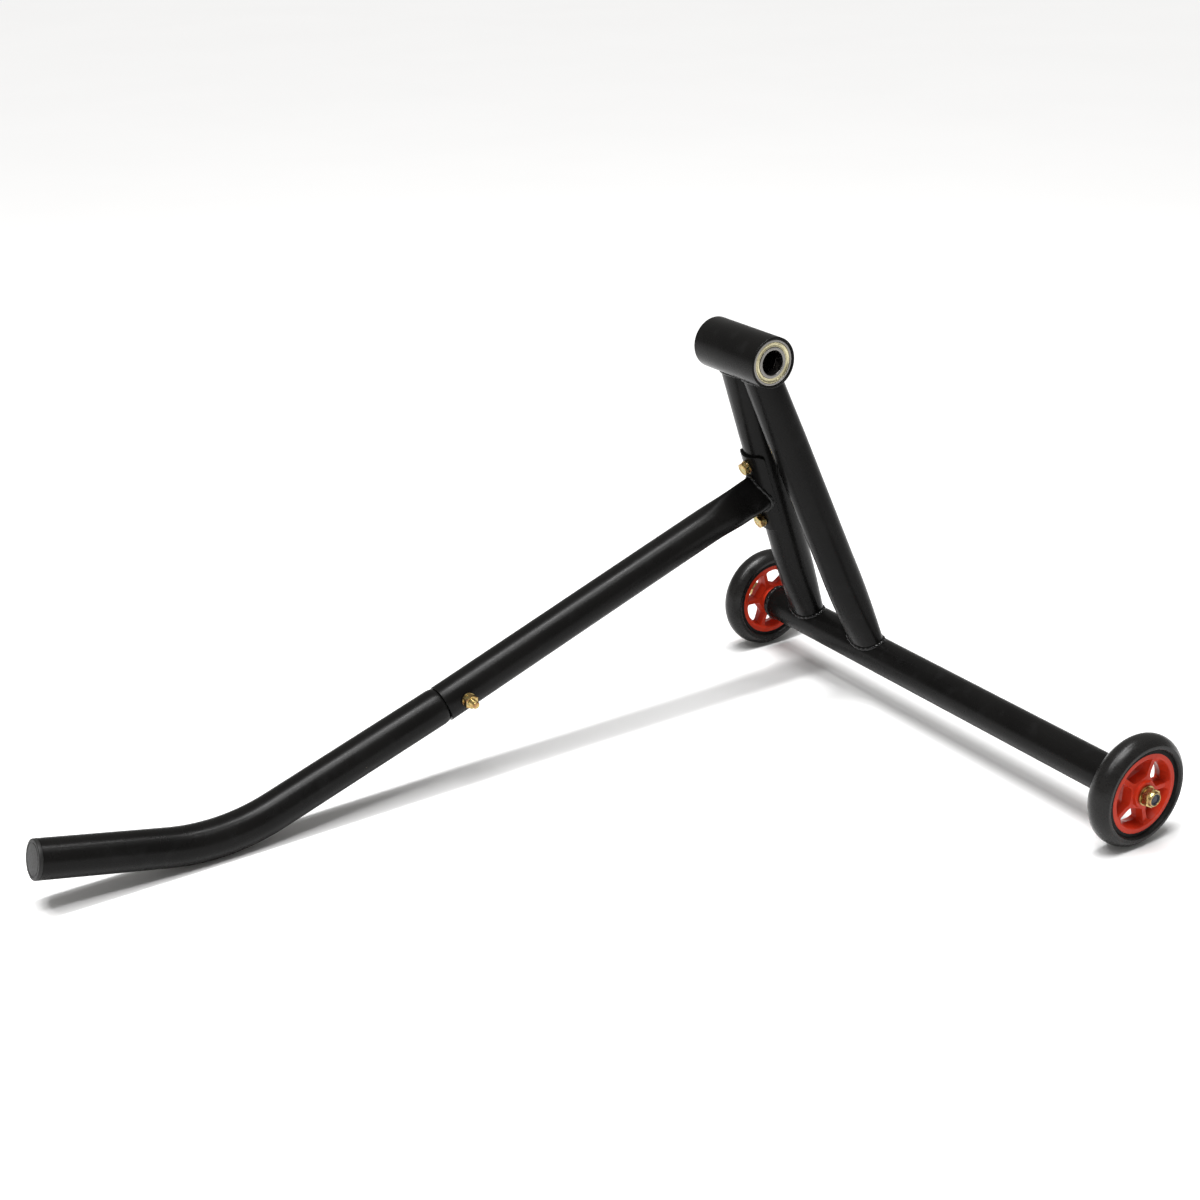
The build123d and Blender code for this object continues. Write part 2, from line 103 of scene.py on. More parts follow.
# M8 bolts and their nuts and spring washers
M8_R = 4.0
M8_PITCH = 1.25
M8_FLATS = 13.0
M8_NUT_HEIGHT = 6.5
M8_NUT_BORE = 3.4
SPRING_WASHER_BORE = 4.2
SPRING_WASHER_R = 7.3
SPRING_WASHER_HEIGHT = 2.0
BRACKET_BOLT_HEAD = 5.3
BRACKET_BOLT_PLAIN = 34.0
BRACKET_BOLT_LENGTH = 56.2
JOINT_BOLT_HEAD = 3.0
JOINT_BOLT_PLAIN = 30.0
JOINT_BOLT_LENGTH = 55.0

# M10 studs and the wheels' lock nuts and washers
M10_R = 5.0
M10_PITCH = 1.5
M10_FLATS = 17.0
AXLE_WASHER_BORE = 5.3
AXLE_WASHER_R = 10.0
AXLE_WASHER_HEIGHT = 2.0
HUB_GAP = 0.3
STUD_IN_TUBE = 22.0
STUD_PAST_BOSS = 10.5

# Half-sizes of the struts' pressed ends, across and along the tube that they meet
FOOT_PRESS = (13.4, 24.7)
TOP_PRESS = (17.7, 21.7)

# The lever's root, pressed tall and narrow, and how far its egg shape is from an even oval
ROOT_HALF_WIDTH = 14.2
ROOT_HALF_HEIGHT = 22.0
ROOT_EGG = 0.6

# Weld beads as (radius, ripple length), and lumps as (place in one turn, height)
FOOT_BEAD = (2.3, 5.2)
HEAD_BEAD = (1.7, 5.0)
ROOT_BEAD = (2.4, 6.0)
END_BEAD = (2.2, 7.5)
FOOT_LUMPS = ((0.72, 1.5), (0.79, 1.5))
ROOT_LUMPS = ((0.20, 1.3), (0.13, 1.0))

# The hub's pockets, at its faces and half way through it
POCKET_FACE = dict(inner=15.8, outer=36.0, spoke=3.2, corner=5.6)
POCKET_MIDDLE = dict(inner=19.6, outer=32.0, spoke=6.0, corner=3.6)
POCKET_WEB_HALF = 0.4
POCKET_REACH = 12.5

# Two rows of small lamps along X: name, first place and side in metres, and power in watts
LAMPS = 7
LAMP_STEP = 0.33
LAMP_ROWS = (("row_a", (-1.2, 0.12, 2.0), 0.14, 5.4), ("row_b", (-1.35, -0.55, 1.9), 0.12, 2.0))
LAMP_AIM = Vector((0.05, 0.1, 0.15))
SKY_TONE = (1.0, 0.985, 0.96, 1)
SKY_STRENGTH = 0.34
SUN_STRENGTH = 2.6
SUN_SPREAD = 30.0
FLOOR_HALF = 9

# The camera, its place in metres
EYE = (-0.83942, -1.32716, 0.92977)
HEADING, DIP, ROLL = 32.66, 23.34, 1.03
SENSOR_WIDTH = 36.0
LENS = 57.9

# How finely round things are divided
TUBE_STEPS = 96
SMALL_STEPS = 72
SHARP = 32.0


# ---------------------------------------------------------------- places, from the frame's joints

places = {joint["name"]: Vector(joint["pos_m"]) for joint in frame["joints"]}
wheel_places = {side: places[f"{side}_wheel_spin"] for side in ("near", "far")}
bearing_places = {side: places[f"{side}_spindle_spin"] for side in ("near", "far")}
outward = {"near": -Y_AXIS, "far": Y_AXIS}
axle = (wheel_places["near"] + wheel_places["far"]) / 2
head = (bearing_places["near"] + bearing_places["far"]) / 2


def lever_way(drop):
    """The direction towards the lever's end of a run that falls at drop degrees."""
    return Vector((-cos(radians(drop)), 0, -sin(radians(drop))))


near_foot = Vector((axle.x, NEAR_FOOT_Y * MM, axle.z))
far_foot = Vector((axle.x, FAR_FOOT_Y * MM, axle.z))
near_top = head - Y_AXIS * STRUT_TOP_HALF_GAP * MM
far_top = head + Y_AXIS * STRUT_TOP_HALF_GAP * MM
near_way = (near_top - near_foot).normalized()
far_way = (far_top - far_foot).normalized()

upper_way = lever_way(UPPER_DROP)
lower_way = lever_way(LOWER_DROP)
tail_way = lever_way(-TAIL_RISE)
bend_turn = radians(LOWER_DROP + TAIL_RISE)
bend_tangent = BEND_R * tan(bend_turn / 2)
corner_z = TUBE_R + BEND_R * (1 - cos(radians(LOWER_DROP))) - bend_tangent * sin(radians(LOWER_DROP))
root_z = corner_z * MM - (upper_way.z * UPPER_TO_JOINT + lower_way.z * JOINT_TO_BEND) * MM
root = far_foot + far_way * ((root_z - far_foot.z) / far_way.z)
joint = root + upper_way * UPPER_TO_JOINT * MM
corner = joint + lower_way * JOINT_TO_BEND * MM
tail_end = corner + tail_way * BEND_TO_END * MM
bracket_way = Vector((-far_way.z, 0, far_way.x)).normalized()


# ---------------------------------------------------------------- mesh tools

def across(way):
    """Two directions square to way: one level where it can be, and one upward."""
    way = Vector(way).normalized()
    level = way.cross(Z_AXIS)
    if level.length < 0.01:
        level = X_AXIS.copy()
    level.normalize()
    return level, level.cross(way)


def turn_angles(steps):
    return np.arange(steps) * 2 * pi / steps


def ring(centre, way, radius, along=0.0, steps=TUBE_STEPS):
    """Points round way. radius and along are in millimetres, each one number or one for each point."""
    level, up = across(way)
    angles = turn_angles(steps)
    reach = (np.zeros(steps) + radius)[:, None] * MM
    shift = (np.zeros(steps) + along)[:, None] * MM
    turned = np.outer(np.cos(angles), level) + np.outer(np.sin(angles), up)
    return np.array(centre) + turned * reach + np.array(Vector(way).normalized()) * shift


def loft(rings, looped=False):
    """Points and faces through rings of points, end to end when looped and else capped at both ends."""
    steps, count = len(rings[0]), len(rings)
    faces = []
    for a in range(count if looped else count - 1):
        b = (a + 1) % count
        for i in range(steps):
            j = (i + 1) % steps
            faces.append((a * steps + i, a * steps + j, b * steps + j, b * steps + i))
    if not looped:
        faces.append(tuple(range(steps)))
        faces.append(tuple(range((count - 1) * steps, count * steps)))
    return np.concatenate(rings), faces


def together(*shapes):
    """Several meshes' points and faces as one."""
    points, faces, start = [], [], 0
    for p, f in shapes:
        points.append(p)
        faces += [tuple(i + start for i in face) for face in f]
        start += len(p)
    return np.concatenate(points), faces


def rounded(outline, radius, steps=4, closed=True):
    """An outline of (radius, along) points with its corners eased, by their own third value if any."""
    out, count = [], len(outline)
    for i, point in enumerate(outline):
        p = Vector(point[:2])
        r = point[2] if len(point) > 2 else radius
        if r <= 0 or (not closed and i in (0, count - 1)):
            out.append(tuple(p))
            continue
        before = Vector(outline[i - 1][:2]) - p
        after = Vector(outline[(i + 1) % count][:2]) - p
        half = before.angle(after) / 2
        back = min(r / tan(half), before.length * 0.49, after.length * 0.49)
        start, end = p + before.normalized() * back, p + after.normalized() * back
        for k in range(steps + 1):
            t = k / steps
            out.append(tuple(start * (1 - t) ** 2 + p * 2 * t * (1 - t) + end * t**2))
    return out


def lathe(centre, way, outline, steps=SMALL_STEPS):
    """A closed outline of (radius, along) points turned about way."""
    return loft([ring(centre, way, r, a, steps) for r, a in outline], looped=True)


def turned_solid(centre, way, outline, steps=SMALL_STEPS):
    """An open outline of (radius, along) points turned about way, capped at its two ends."""
    return loft([ring(centre, way, r, a, steps) for r, a in outline])


def build(name, shape, finish, sharp=SHARP):
    """A mesh object from points and faces, smooth but for edges sharper than sharp degrees."""
    points, faces = shape
    mesh = bpy.data.meshes.new(name)
    mesh.from_pydata([tuple(p) for p in points], [], faces)
    work = bmesh.new()
    work.from_mesh(mesh)
    bmesh.ops.remove_doubles(work, verts=work.verts, dist=1e-7)
    bmesh.ops.recalc_face_normals(work, faces=work.faces)
    work.to_mesh(mesh)
    work.free()
    mesh.polygons.foreach_set("use_smooth", [True] * len(mesh.polygons))
    mesh.set_sharp_from_angle(angle=radians(sharp))
    mesh.materials.append(finish)
    obj = bpy.data.objects.new(name, mesh)
    bpy.context.scene.collection.objects.link(obj)
    return obj


def place(obj, body, slot, *nodes):
    """obj rides on body and stands for CAD nodes; slot is not used."""
    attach(obj, body)
    if nodes:
        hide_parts(*nodes)
    return obj


def wobble(t, *waves):
    """A smooth, repeatable unevenness along t, from (count, phase, size) waves over one turn."""
    return sum(size * np.sin(2 * pi * count * t + phase) for count, phase, size in waves)


# ---------------------------------------------------------------- materials

class Finish:
    """A procedural material, with the few nodes that all of them need."""

    def __init__(self, name, roughness, metallic=0.0, **sockets):
        self.material = bpy.data.materials.new(name)
        self.material.use_nodes = True
        self.nodes = self.material.node_tree.nodes
        self.links = self.material.node_tree.links
        self.shader = self.nodes["Principled BSDF"]
        self.shader.inputs["Roughness"].default_value = roughness
        self.shader.inputs["Metallic"].default_value = metallic
        for socket, value in sockets.items():
            self.shader.inputs[socket.replace("_", " ")].default_value = value
        self.place = self.nodes.new("ShaderNodeTexCoord").outputs["Object"]

    def link(self, source, target):
        self.links.new(source, target)

    def noise(self, scale, detail=3.0, rough=0.5, stretch=(1, 1, 1), warp=0.0):
        """Noise whose features are about 1/scale metres."""
        spread = self.nodes.new("ShaderNodeMapping")
        spread.inputs["Scale"].default_value = stretch
        self.link(self.place, spread.inputs["Vector"])
        node = self.nodes.new("ShaderNodeTexNoise")
        node.inputs["Scale"].default_value = scale
        node.inputs["Detail"].default_value = detail
        node.inputs["Roughness"].default_value = rough
        node.inputs["Distortion"].default_value = warp
        self.link(spread.outputs["Vector"], node.inputs["Vector"])
        return node.outputs["Fac"]

    def cells(self, scale, stretch=(1, 1, 1)):
        """Distance to the nearest of scattered points, about 1/scale metres apart."""
        spread = self.nodes.new("ShaderNodeMapping")
        spread.inputs["Scale"].default_value = stretch
        self.link(self.place, spread.inputs["Vector"])
        node = self.nodes.new("ShaderNodeTexVoronoi")
        node.inputs["Scale"].default_value = scale
        self.link(spread.outputs["Vector"], node.inputs["Vector"])
        return node.outputs["Distance"]

    def rings_about_y(self, scale, detail=1.5):
        """Fine circles round the piece's own Y axis, as turning leaves."""
        flat = self.nodes.new("ShaderNodeVectorMath")
        flat.operation = "MULTIPLY"
        flat.inputs[1].default_value = (1, 0, 1)
        self.link(self.place, flat.inputs[0])
        reach = self.nodes.new("ShaderNodeVectorMath")
        reach.operation = "LENGTH"
        self.link(flat.outputs["Vector"], reach.inputs[0])
        node = self.nodes.new("ShaderNodeTexNoise")
        node.noise_dimensions = "1D"
        node.inputs["Scale"].default_value = scale
        node.inputs["Detail"].default_value = detail
        self.link(reach.outputs["Value"], node.inputs["W"])
        return node.outputs["Fac"]

    def ramp(self, value, *stops):
        node = self.nodes.new("ShaderNodeValToRGB")
        node.color_ramp.elements[0].position = stops[0][0]
        node.color_ramp.elements[0].color = (*stops[0][1], 1)
        node.color_ramp.elements[1].position = stops[-1][0]
        node.color_ramp.elements[1].color = (*stops[-1][1], 1)
        for position, color in stops[1:-1]:
            node.color_ramp.elements.new(position).color = (*color, 1)
        self.link(value, node.inputs["Fac"])
        return node.outputs["Color"]

    def span(self, value, low, high, start=0.3, end=0.7):
        node = self.nodes.new("ShaderNodeMapRange")
        node.inputs["From Min"].default_value = start
        node.inputs["From Max"].default_value = end
        node.inputs["To Min"].default_value = low
        node.inputs["To Max"].default_value = high
        self.link(value, node.inputs["Value"])
        return node.outputs["Result"]

    def mix(self, amount, first, second):
        node = self.nodes.new("ShaderNodeMix")
        node.data_type = "RGBA"
        self.link(amount, node.inputs["Factor"])
        self.link(first, node.inputs["A"])
        self.link(second, node.inputs["B"])
        return node.outputs["Result"]

    def color(self, value):
        self.link(value, self.shader.inputs["Base Color"])

    def roughness(self, value):
        self.link(value, self.shader.inputs["Roughness"])

    def bumps(self, *heights):
        """Relief from (height, depth in metres) pairs, one over another."""
        normal = None
        for height, depth in heights:
            node = self.nodes.new("ShaderNodeBump")
            node.inputs["Strength"].default_value = 1.0
            node.inputs["Distance"].default_value = depth
            self.link(height, node.inputs["Height"])
            if normal:
                self.link(normal, node.inputs["Normal"])
            normal = node.outputs["Normal"]
        self.link(normal, self.shader.inputs["Normal"])


def powder_coat():
    """Satin black powder coat: fine orange peel, slow changes of tone and a few specks of dust."""
    f = Finish("powder_coat", 0.3, Specular_IOR_Level=0.1)
    tone = f.ramp(f.noise(14, 4), (0.3, (0.0028, 0.0027, 0.0026)), (0.7, (0.0044, 0.0042, 0.0040)))
    specks = f.ramp(f.cells(260), (0.0, (0.045, 0.042, 0.038)), (0.045, (0.007, 0.007, 0.007)))
    few = f.span(f.noise(60, 2), 0.0, 0.55, 0.55, 0.75)
    f.color(f.mix(few, tone, specks))
    f.roughness(f.span(f.noise(35, 5, 0.6), 0.24, 0.31))
    f.bumps((f.noise(950, 3, 0.55), 0.000018), (f.noise(210, 2), 0.00004))
    return f.material


def coated_weld():
    """The same coat where it has flowed glossy over a weld bead."""
    f = Finish("coated_weld", 0.2, Specular_IOR_Level=0.24)
    f.color(f.ramp(f.noise(120, 3), (0.35, (0.0030, 0.0030, 0.0031)), (0.7, (0.0052, 0.0051, 0.0050))))
    f.roughness(f.span(f.noise(240, 4), 0.14, 0.28))
    f.bumps((f.noise(700, 4, 0.6), 0.00007), (f.noise(260, 2), 0.00016))
    return f.material


def yellow_zinc():
    """Yellow passivated zinc: straw gold that drifts to green and rose, over a dulled grain."""
    f = Finish("yellow_zinc", 0.3, 1.0)
    drift = f.noise(190, 3, 0.5, warp=0.6)
    straw = f.ramp(
        drift,
        (0.30, (0.27, 0.13, 0.09)),
        (0.42, (0.36, 0.23, 0.08)),
        (0.52, (0.50, 0.37, 0.15)),
        (0.62, (0.26, 0.27, 0.11)),
        (0.72, (0.33, 0.14, 0.13)),
    )
    dull = f.ramp(f.noise(900, 4, 0.7), (0.35, (0.12, 0.09, 0.05)), (0.6, (0.40, 0.32, 0.16)))
    f.color(f.mix(f.span(f.noise(420, 3), 0.0, 0.55, 0.45, 0.75), straw, dull))
    f.roughness(f.span(f.noise(1400, 4, 0.6), 0.18, 0.42))
    f.bumps((f.noise(2600, 3), 0.000012), (f.noise(500, 2), 0.00003))
    return f.material


def dull_zinc_steel_with_painted_shade():
    """Thread that the zinc has left thin and dull, its dark blue-grey colour partly painted shade."""
    f = Finish("dull_zinc_with_painted_shade", 0.45, 1.0)
    f.color(f.ramp(f.noise(500, 4), (0.35, (0.030, 0.032, 0.040)), (0.65, (0.075, 0.075, 0.085))))
    f.roughness(f.span(f.noise(800, 3), 0.35, 0.55))
    f.bumps((f.noise(1500, 3), 0.00003))
    return f.material


def bright_zinc():
    """Bright zinc over turned steel."""
    f = Finish("bright_zinc", 0.3, 1.0)
    f.color(f.ramp(f.noise(300, 4), (0.35, (0.42, 0.43, 0.45)), (0.65, (0.64, 0.65, 0.66))))
    f.roughness(f.span(f.noise(900, 4), 0.22, 0.42))
    f.bumps((f.noise(1800, 3), 0.00001), (f.rings_about_y(2500), 0.000012))
    return f.material


def bearing_steel():
    """Ground and polished bearing rings, with the grinder's circles and faint handling marks."""
    f = Finish("bearing_steel", 0.2, 1.0)
    ground = f.rings_about_y(3800)
    f.color(f.ramp(ground, (0.3, (0.17, 0.165, 0.155)), (0.7, (0.28, 0.27, 0.255))))
    f.roughness(f.span(f.noise(340, 4), 0.24, 0.38))
    f.bumps((ground, 0.000010), (f.noise(700, 3), 0.000010))
    return f.material


def shield_steel():
    """Pressed steel shield with a pale gold passivation."""
    f = Finish("shield_steel", 0.26, 1.0)
    f.color(f.ramp(f.noise(220, 3), (0.3, (0.40, 0.36, 0.22)), (0.7, (0.55, 0.51, 0.34))))
    f.roughness(f.span(f.noise(600, 4), 0.20, 0.34))
    f.bumps((f.rings_about_y(1800), 0.000016), (f.noise(800, 3), 0.000014))
    return f.material


def cage_steel():
    """Plain pressed steel with a film of grease."""
    f = Finish("cage_steel", 0.35, 1.0)
    f.color(f.ramp(f.noise(400, 4), (0.35, (0.22, 0.20, 0.16)), (0.65, (0.44, 0.42, 0.37))))
    f.roughness(f.span(f.noise(700, 3), 0.25, 0.5))
    f.bumps((f.noise(900, 3), 0.00002))
    return f.material


def red_plastic():
    """Glossy orange-red moulding, with flow marks and fine scuffs."""
    f = Finish("red_plastic", 0.34, Specular_IOR_Level=0.12)
    flow = f.noise(55, 4, 0.55, warp=0.5)
    f.color(f.ramp(flow, (0.3, (0.41, 0.022, 0.008)), (0.7, (0.49, 0.032, 0.010))))
    f.roughness(f.span(f.noise(300, 4, 0.6), 0.28, 0.40))
    f.bumps((f.noise(160, 2), 0.00003))
    return f.material


def tyre_rubber():
    """Smooth black rubber with mould circles, a grey bloom and fine dust."""
    f = Finish("tyre_rubber", 0.3, Specular_IOR_Level=0.2)
    base = f.ramp(f.noise(45, 4), (0.3, (0.0056, 0.0054, 0.0052)), (0.7, (0.0090, 0.0086, 0.0082)))
    bloom = f.ramp(f.noise(700, 4, 0.65), (0.5, (0.0085, 0.0081, 0.0078)), (0.8, (0.020, 0.019, 0.0175)))
    f.color(f.mix(f.span(f.noise(90, 3), 0.0, 0.5, 0.5, 0.8), base, bloom))
    f.roughness(f.span(f.noise(160, 5, 0.6), 0.20, 0.36))
    f.bumps((f.rings_about_y(900), 0.00005), (f.noise(1600, 3), 0.00002))
    return f.material


def rubber_lip():
    """The tyre's matt inner lip, which keeps its mould grain."""
    f = Finish("rubber_lip", 0.62, Specular_IOR_Level=0.15)
    f.color(f.ramp(f.noise(500, 4), (0.3, (0.0035, 0.0035, 0.0035)), (0.7, (0.0065, 0.0062, 0.0060))))
    f.roughness(f.span(f.noise(900, 3), 0.52, 0.72))
    f.bumps((f.noise(2200, 3), 0.00003))
    return f.material


def black_plastic():
    """Fine-grained black moulding."""
    f = Finish("black_plastic", 0.5, Specular_IOR_Level=0.25)
    f.color(f.ramp(f.noise(80, 4), (0.3, (0.0085, 0.0085, 0.0085)), (0.7, (0.0125, 0.0122, 0.0120))))
    f.roughness(f.span(f.noise(700, 3), 0.42, 0.58))
    f.bumps((f.cells(1500), 0.000035), (f.noise(300, 2), 0.00003))
    return f.material


def nylon():
    """The lock nut's insert."""
    f = Finish("nylon", 0.4, IOR=1.53)
    f.color(f.ramp(f.noise(600, 3), (0.3, (0.012, 0.015, 0.026)), (0.7, (0.026, 0.032, 0.050))))
    f.roughness(f.span(f.noise(900, 3), 0.3, 0.5))
    f.bumps((f.noise(1500, 3), 0.00003))
    return f.material


coat = powder_coat()
weld_coat = coated_weld()
gold_zinc = yellow_zinc()
silver_zinc = bright_zinc()
dull_zinc_with_painted_shade = dull_zinc_steel_with_painted_shade()
ground_steel = bearing_steel()
shield_metal = shield_steel()
cage_metal = cage_steel()
red = red_plastic()
rubber = tyre_rubber()
lip_rubber = rubber_lip()
plastic = black_plastic()
insert_nylon = nylon()

kept_nodes = {
    coat: ("axle_tube", "near_strut", "far_strut", "near_axle_end_disc", "far_axle_end_disc"),
    silver_zinc: ("near_axle_spacer", "far_axle_spacer", "near_wheel_bush", "far_wheel_bush"),
    ground_steel: ("near_bearing_balls", "far_bearing_balls"),
    cage_metal: ("near_bearing_cage", "far_bearing_cage"),
}
for finish, names in kept_nodes.items():
    for name in names:
        mesh = frame["nodes"][name].data
        mesh.materials.clear()
        mesh.materials.append(finish)


# ---------------------------------------------------------------- head and bearings

def head_tube():
    """The bearing housing: eased lips round both mouths, and the steps that the bearings sit on."""
    face, shelf = HEAD_HALF, HEAD_HALF - BEARING_RECESS - 2 * BEARING_HALF
    outline = [(HEAD_R, -face, 0.9), (HEAD_R, face, 0.9), (BEARING_R + 0.05, face, 0.7)]
    outline += [(BEARING_R + 0.05, shelf, 0), (HEAD_LAND_R, shelf, 0.3), (HEAD_LAND_R, -shelf, 0.3)]
    outline += [(BEARING_R + 0.05, -shelf, 0), (BEARING_R + 0.05, -face, 0.7)]
    shape = lathe((0, 0, 0), Y_AXIS, rounded(outline, 0, 5), TUBE_STEPS)
    obj = build("head_tube_finish", shape, coat)
    obj.location = head
    place(obj, "frame", "powder_coat", "head_tube")


def bearing(side):
    """One shielded ball bearing: chamfered rings with their races, and a stepped shield on each side."""
    half, bodies = BEARING_HALF, {"outer": "frame", "inner": f"{side}_spindle_ring"}
    race = [(BALL_CIRCLE_R + RACE_R * cos(a), RACE_R * sin(a)) for a in np.linspace(-0.84, 0.84, 9)]
    seat = half - SHIELD_SEAT
    outer = [(BEARING_R, -half, 0.9), (BEARING_R, half, 0.9), (20.9, half, 0.35), (20.7, seat, 0)]
    outer += [(20.2, seat - 0.1, 0)] + [(r, a, 0) for r, a in reversed(race)]
    outer += [(20.2, 0.1 - seat, 0), (20.7, -seat, 0), (20.9, -half, 0.35)]
    inner = [(BEARING_BORE_R, -half, 0.8), (INNER_SHOULDER_R, -half, 0.5), (INNER_SHOULDER_R, -2.5, 0)]
    inner += [(2 * BALL_CIRCLE_R - r, a, 0) for r, a in race]
    inner += [(INNER_SHOULDER_R, 2.5, 0), (INNER_SHOULDER_R, half, 0.5), (BEARING_BORE_R, half, 0.8)]
    for name, outline in (("outer", outer), ("inner", inner)):
        shape = lathe((0, 0, 0), Y_AXIS, rounded(outline, 0, 4))
        obj = build(f"{side}_bearing_{name}_finish", shape, ground_steel)
        obj.location = bearing_places[side]
        place(obj, bodies[name], "bearing_steel", f"{side}_bearing_{name}_ring")
    shields = []
    for way in (1, -1):
        step = [(20.65, seat + 0.75), (19.9, seat + 0.95), (19.2, seat + 0.55), (18.7, seat + 0.05)]
        step += [(17.4, seat - 0.05), (16.9, seat + 0.25), (16.15, seat + 0.3)]
        skin = rounded([(r, a, 0.5) for r, a in step], 0.5, 4, closed=False)
        back = [(r, a - 0.45) for r, a in reversed(skin)]
        shields.append(lathe((0, 0, 0), Y_AXIS * way, skin + back))
    obj = build(f"{side}_bearing_shields_finish", together(*shields), shield_metal)
    obj.location = bearing_places[side]
    place(obj, "frame", "shield_steel", f"{side}_bearing_shields")


# ---------------------------------------------------------------- bolts, nuts and washers

def hexagon_radius(flats, steps):
    """How far a hexagon reaches at each angle, its flats facing 0, 60, 120 degrees and so on."""
    angles = turn_angles(steps)
    from_flat = (angles + pi / 6) % (pi / 3) - pi / 6
    return flats / 2 / np.cos(from_flat)


def washer(centre, way, inner, outer, thickness):
    """A stamped washer: one edge rolled over by the punch, the other left crisp."""
    outline = [(inner, 0, 0.1), (outer, 0, 0.1), (outer, thickness, 0.5), (inner, thickness, 0.35)]
    return lathe(centre, way, rounded(outline, 0, 3))


def spring_washer(centre, way):
    """An M8 spring washer pressed flat, with the slanting cut through its section."""
    inner, outer, height = SPRING_WASHER_BORE, SPRING_WASHER_R, SPRING_WASHER_HEIGHT
    outline = [(inner, 0, 0.2), (outer, 0, 0.3), (outer, height, 0.3), (inner, height, 0.2)]
    corners = rounded(outline, 0, 2)
    level, up = across(way)
    way = np.array(Vector(way).normalized())
    rings = []
    for t in np.linspace(0, 1, 64):
        points = []
        for radius, along in corners:
            angle = 0.9 + (2 * pi - 0.16) * t + 0.09 * (along - 1)
            out = np.array(level) * cos(angle) + np.array(up) * sin(angle)
            points.append(np.array(centre) + (out * radius + way * along) * MM)
        rings.append(np.array(points))
    return loft(rings)


def m8_nut(centre, way):
    """A hexagonal nut with both ends chamfered, so that each flat ends in an arc."""
    height, bore = M8_NUT_HEIGHT, M8_NUT_BORE
    reach = hexagon_radius(M8_FLATS, SMALL_STEPS)
    crown = M8_FLATS * 0.47
    fall = (reach - crown) * tan(radians(30))
    rings = [
        ring(centre, way, bore, 0.6, SMALL_STEPS),
        ring(centre, way, bore + 0.6, 0.0, SMALL_STEPS),
        ring(centre, way, crown, 0.0, SMALL_STEPS),
        ring(centre, way, reach, fall, SMALL_STEPS),
        ring(centre, way, reach, height - fall, SMALL_STEPS),
        ring(centre, way, crown, height, SMALL_STEPS),
        ring(centre, way, bore + 0.6, height, SMALL_STEPS),
        ring(centre, way, bore, height - 0.6, SMALL_STEPS),
    ]
    return loft(rings, looped=True)


def threaded_end(centre, way, radius, pitch, start, end):
    """Rings of a screw thread from start to end along way, fading out in a chamfer at its end."""
    depth = 0.61 * pitch
    angles = turn_angles(SMALL_STEPS)
    rings = []
    for along in np.arange(start, end, pitch / 8):
        phase = (along / pitch - angles / (2 * pi)) % 1.0
        crest = radius - depth * (1 - np.abs(2 * phase - 1))
        chamfer = radius - 1.1 * depth + max(0.0, end - 0.35 - along)
        rings.append(ring(centre, way, np.minimum(crest, chamfer), along, SMALL_STEPS))
    rings.append(ring(centre, way, radius - 1.4 * depth, end, SMALL_STEPS))
    return rings


def m8_bolt(centre, way, head_height, plain, length):
    """A hexagonal bolt whose head stands along way from centre and whose shank runs the other way."""
    reach = hexagon_radius(M8_FLATS, SMALL_STEPS)
    crown = M8_FLATS * 0.46
    fall = (reach - crown) * tan(radians(30))
    dish = M8_FLATS * 0.30
    rings = [
        ring(centre, way, 0.5, head_height - 0.35, SMALL_STEPS),
        ring(centre, way, dish, head_height - 0.35, SMALL_STEPS),
        ring(centre, way, dish + 0.5, head_height, SMALL_STEPS),
        ring(centre, way, crown, head_height, SMALL_STEPS),
        ring(centre, way, reach, head_height - fall, SMALL_STEPS),
        ring(centre, way, reach, 0.35, SMALL_STEPS),
        ring(centre, way, crown, 0.0, SMALL_STEPS),
        ring(centre, way, M8_R, 0.0, SMALL_STEPS),
        ring(centre, way, M8_R, -plain, SMALL_STEPS),
    ]
    level = across(way)[0]
    thread = threaded_end(centre, -Vector(way), M8_R, M8_PITCH, plain + 0.2, length)
    if across(-Vector(way))[0].dot(level) < 0:
        thread = [np.roll(r[::-1], SMALL_STEPS // 2 + 1, axis=0) for r in thread]
    return loft(rings + thread)


def bracket_fasteners():
    """The M8 bolts that hold the lever's bracket: heads on the lever's side, nuts behind the strut."""
    bolts, nuts, washers = [], [], []
    for offset in (-BRACKET_BOLT_OFFSET, BRACKET_BOLT_OFFSET):
        middle = root + far_way * offset * MM
        face = middle + bracket_way * SADDLE_R * MM
        back = middle - bracket_way * STRUT_R * MM
        bolts.append(m8_bolt(
            face + bracket_way * SPRING_WASHER_HEIGHT * MM, bracket_way,
            BRACKET_BOLT_HEAD, BRACKET_BOLT_PLAIN, BRACKET_BOLT_LENGTH,
        ))
        nuts.append(m8_nut(back - bracket_way * SPRING_WASHER_HEIGHT * MM, -bracket_way))
        washers.append(spring_washer(face, bracket_way))
        washers.append(spring_washer(back, -bracket_way))
    for name, shapes in (("bolts", bolts), ("nuts", nuts), ("washers", washers)):
        obj = build(f"bracket_{name}_finish", together(*shapes), gold_zinc)
        place(obj, "frame", "yellow_zinc", f"bracket_{name}")


def joint_fasteners():
    """The M8 bolt through the lever's joint, its nut on the -Y side."""
    middle = root + upper_way * UPPER_BOLT * MM
    far_face = middle + Y_AXIS * TUBE_R * MM
    near_face = middle - Y_AXIS * TUBE_R * MM
    shapes = {
        "bolt": m8_bolt(far_face, Y_AXIS, JOINT_BOLT_HEAD, JOINT_BOLT_PLAIN, JOINT_BOLT_LENGTH),
        "nut": m8_nut(near_face - Y_AXIS * SPRING_WASHER_HEIGHT * MM, -Y_AXIS),
        "washer": spring_washer(near_face, -Y_AXIS),
    }
    for name, shape in shapes.items():
        place(build(f"joint_{name}_finish", shape, gold_zinc), "frame", "yellow_zinc", f"joint_{name}")


# ---------------------------------------------------------------- welds

